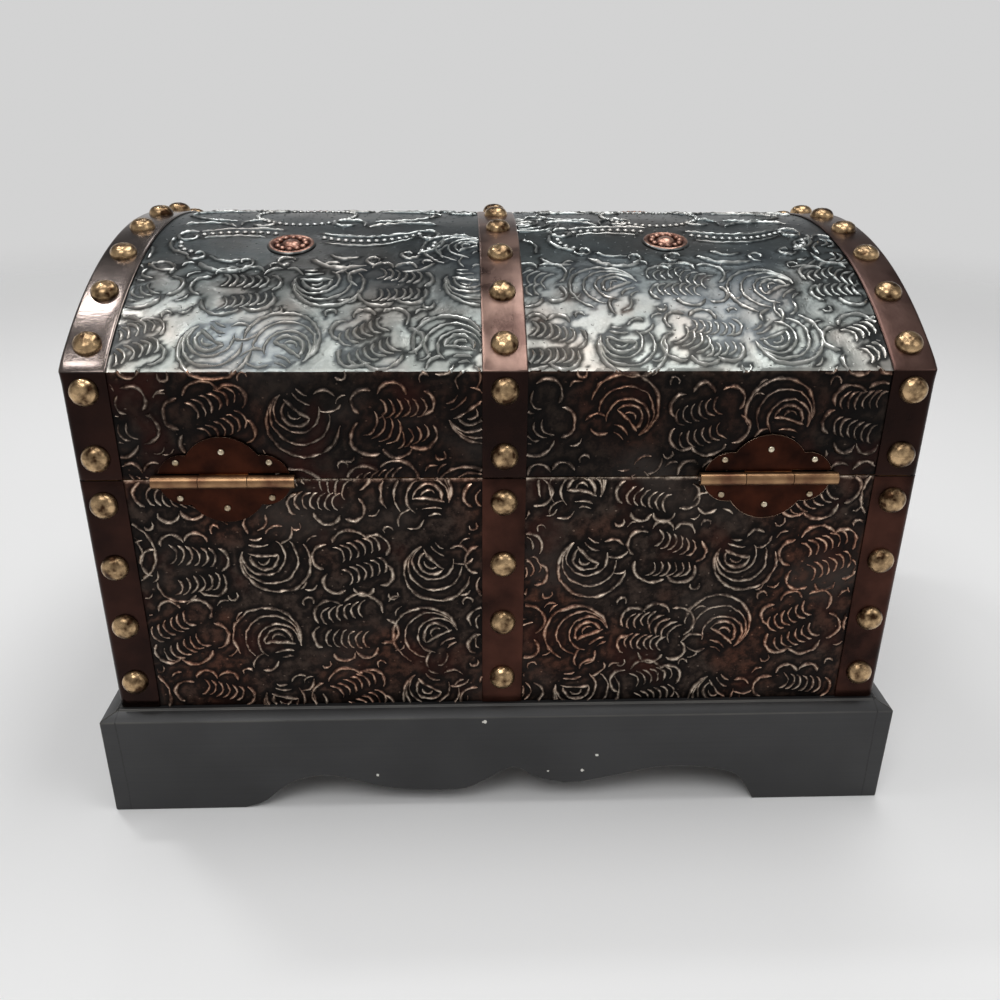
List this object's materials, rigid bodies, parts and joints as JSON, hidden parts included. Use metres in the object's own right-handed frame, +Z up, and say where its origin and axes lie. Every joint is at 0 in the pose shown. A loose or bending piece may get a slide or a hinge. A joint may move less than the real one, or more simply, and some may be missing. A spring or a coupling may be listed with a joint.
{
  "type": "dome top trunk",
  "caption": "Small dome top trunk on a scalloped plinth, covered in embossed sheet, bound with studded copper straps, with a hinged lid and a swing hook.",
  "frame": {"origin": "middle of the trunk on the surface that its plinth stands on", "axes": "+Z up, +X along the trunk to the right seen from the front, the front with the hook faces -Y and the hinges are at +Y"},
  "size_m": [0.396, 0.296, 0.2814],
  "materials": {
    "black_painted_wood": "satin charcoal black paint",
    "raw_wood": "plain sawn",
    "embossed_sheet": "embossed dark pewter with rubbed copper ridges",
    "copper_strap": "dark antique copper",
    "hinge_copper": "brown copper with bright rims",
    "pin_steel": "plain wire",
    "antique_brass": "antique, lightly hammered",
    "felt": "matte felt"
  },
  "bodies": {
    "trunk_box": {"plinth_apron_front": "black_painted_wood", "plinth_apron_back": "black_painted_wood", "plinth_apron_left": "black_painted_wood", "plinth_apron_right": "black_painted_wood", "plinth_block_front_left": "raw_wood", "plinth_block_front_right": "raw_wood", "plinth_block_back_left": "raw_wood", "plinth_block_back_right": "raw_wood", "body_bottom": "raw_wood", "body_front_board": "raw_wood", "body_back_board": "raw_wood", "body_left_board": "raw_wood", "body_right_board": "raw_wood", "body_lining": "felt", "body_sheet_front": "embossed_sheet", "body_sheet_back": "embossed_sheet", "body_sheet_left": "embossed_sheet", "body_sheet_right": "embossed_sheet", "corner_strap_front_left": "copper_strap", "corner_strap_front_right": "copper_strap", "corner_strap_back_left": "copper_strap", "corner_strap_back_right": "copper_strap", "body_strap_front": "copper_strap", "body_strap_back": "copper_strap", "hinge_left_lower_leaf": "hinge_copper", "hinge_right_lower_leaf": "hinge_copper", "hinge_left_pin": "pin_steel", "hinge_right_pin": "pin_steel", "hinge_nail_lower_left_left": "antique_brass", "hinge_nail_lower_left_middle": "antique_brass", "hinge_nail_lower_left_right": "antique_brass", "hinge_nail_lower_right_left": "antique_brass", "hinge_nail_lower_right_middle": "antique_brass", "hinge_nail_lower_right_right": "antique_brass", "latch_body_plate": "antique_brass", "latch_peg": "antique_brass"},
    "lid": {"lid_end_left": "raw_wood", "lid_end_right": "raw_wood", "lid_rail_front": "raw_wood", "lid_rail_back": "raw_wood", "lid_dome_panel": "raw_wood", "lid_lining": "felt", "lid_sheet": "embossed_sheet", "lid_sheet_left": "embossed_sheet", "lid_sheet_right": "embossed_sheet", "lid_strap_left": "copper_strap", "lid_strap_right": "copper_strap", "lid_strap_center": "copper_strap", "hinge_left_upper_leaf": "hinge_copper", "hinge_right_upper_leaf": "hinge_copper", "hinge_nail_upper_left_left": "antique_brass", "hinge_nail_upper_left_middle": "antique_brass", "hinge_nail_upper_left_right": "antique_brass", "hinge_nail_upper_right_left": "antique_brass", "hinge_nail_upper_right_middle": "antique_brass", "hinge_nail_upper_right_right": "antique_brass", "latch_lid_plate": "antique_brass", "latch_pivot": "antique_brass"},
    "latch_hook": {"latch_hook": "antique_brass"}
  },
  "joints": [
    {"name": "lid_hinge", "type": "hinge", "parent": "trunk_box", "child": "lid", "pos_m": [0, 0.1422, 0.18], "axis": [-1, 0, 0], "range_deg": [0, 150]},
    {"name": "hook_swing", "type": "hinge", "parent": "lid", "child": "latch_hook", "pos_m": [0.0065, -0.1438, 0.1945], "axis": [0, 1, 0], "range_deg": [-150, 30]}
  ]
}
